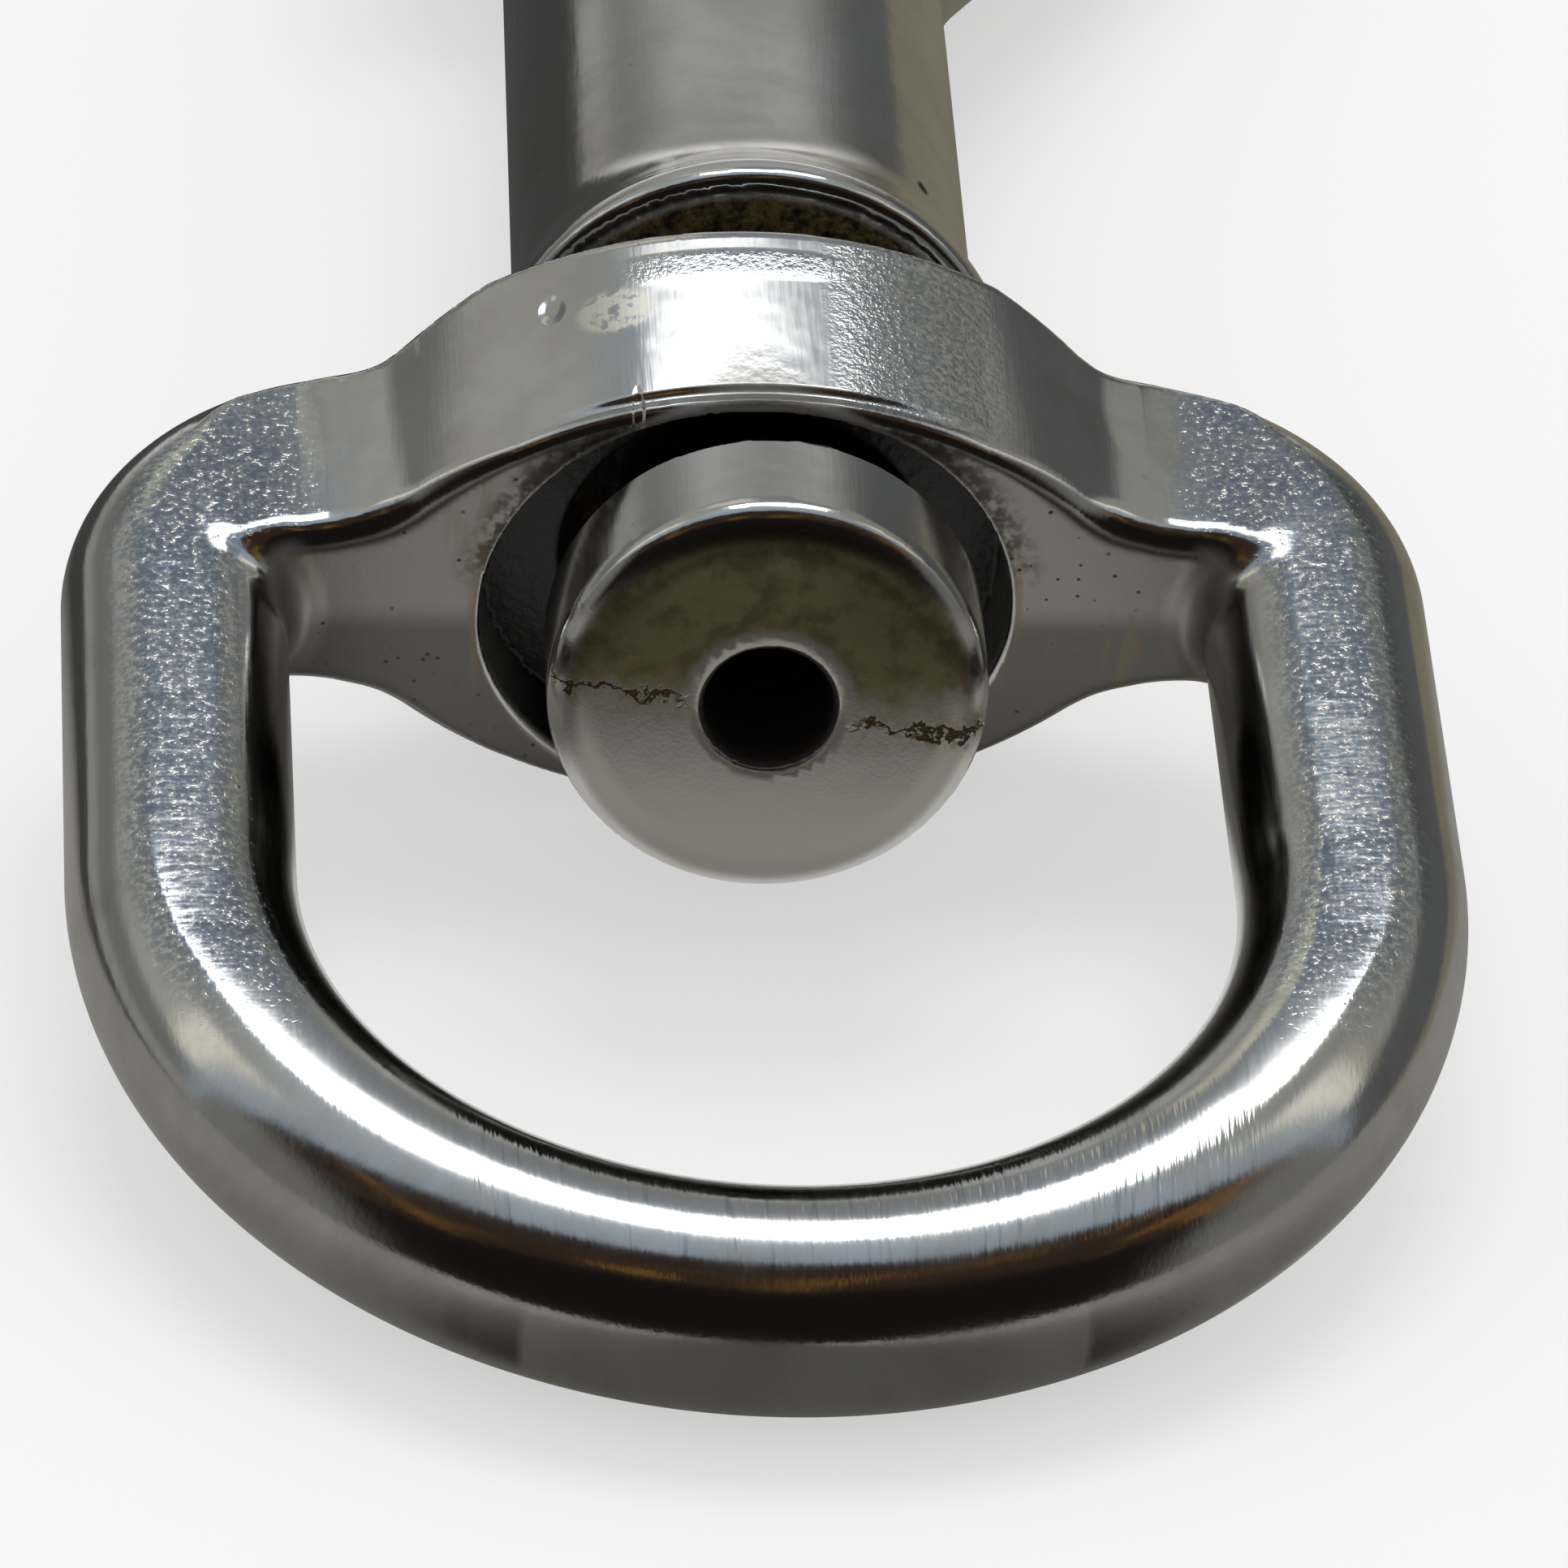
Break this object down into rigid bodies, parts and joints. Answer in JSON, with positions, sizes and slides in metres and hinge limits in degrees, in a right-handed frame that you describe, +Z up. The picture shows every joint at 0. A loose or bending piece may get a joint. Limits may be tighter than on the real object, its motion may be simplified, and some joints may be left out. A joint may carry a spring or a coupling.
{
  "type": "swivel snap hook",
  "caption": "Swivel snap hook with an oval eye that turns on a headed stud, a sliding spring bolt worked by a thumb knob, and a curved hook arm.",
  "frame": {"origin": "centre of the bounding box on the plane that the snap lies on", "axes": "+Z up, +Y along the length from the swivel eye towards the hook, +X towards the hook's arm"},
  "size_m": [0.0374, 0.1068, 0.0148],
  "materials": {
    "body_plating": "polished nickel plating on a zinc casting, fine scratches and small pits",
    "eye_plating": "polished nickel plating on a zinc casting, buffed ring, plain cast recesses",
    "bolt_steel": "plated turned steel",
    "spring_steel": "drawn spring wire",
    "knob_plating": "polished nickel plating"
  },
  "bodies": {
    "body": {"hook_body": "body_plating", "spring": "spring_steel"},
    "eye": {"swivel_eye": "eye_plating"},
    "bolt": {"bolt": "bolt_steel", "thumb_knob": "knob_plating"}
  },
  "joints": [
    {"name": "eye_swivel", "type": "hinge", "parent": "body", "child": "eye", "pos_m": [-0.00138, -0.02102, 0.00785], "axis": [0, 0.9998, -0.0217], "continuous": true},
    {"name": "bolt_slide", "type": "slide", "parent": "body", "child": "bolt", "axis": [0, -0.9998, 0.0217], "range_m": [0, 0.0126], "stiffness_N_per_m": 300, "springref_m": -0.02, "deforming": ["spring"]}
  ]
}
